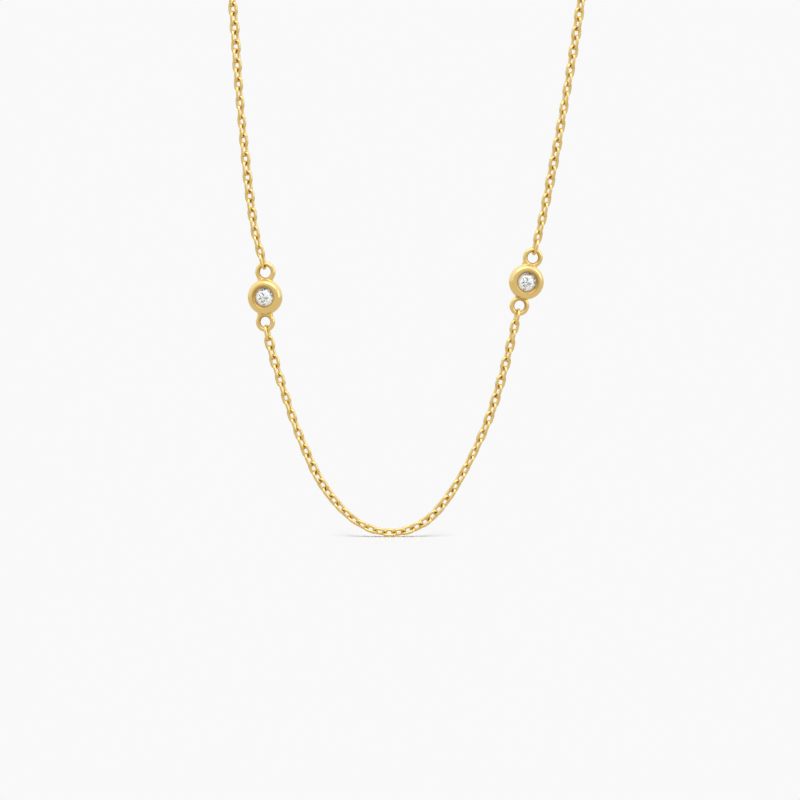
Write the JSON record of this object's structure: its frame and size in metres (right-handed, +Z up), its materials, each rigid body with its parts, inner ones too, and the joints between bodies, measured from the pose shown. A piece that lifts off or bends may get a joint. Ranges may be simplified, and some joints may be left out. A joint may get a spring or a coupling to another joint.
{
  "type": "diamond chain necklace",
  "caption": "Fine gold cable chain necklace with round diamonds in rounded bezels, hanging as a closed loop.",
  "frame": {"origin": "middle of the clasp ring at the top of the loop, where a hook, a peg or the nape of a neck carries the necklace", "axes": "+Z up along the hanging loop, -Y towards the front of the stones, +X to the viewer's right"},
  "size_m": [0.0534, 0.0022, 0.2106],
  "materials": {
    "gold": "polished yellow gold wire",
    "bezel_gold": "soft-polished yellow gold",
    "diamond": "cut and polished, colourless"
  },
  "bodies": {
    "root": {"front_chain": "gold", "left_chain": "gold", "right_chain": "gold", "left_back_chain": "gold", "right_back_chain": "gold", "left_bezel": "bezel_gold", "right_bezel": "bezel_gold", "left_diamond": "diamond", "right_diamond": "diamond", "clasp": "gold"}
  },
  "joints": []
}
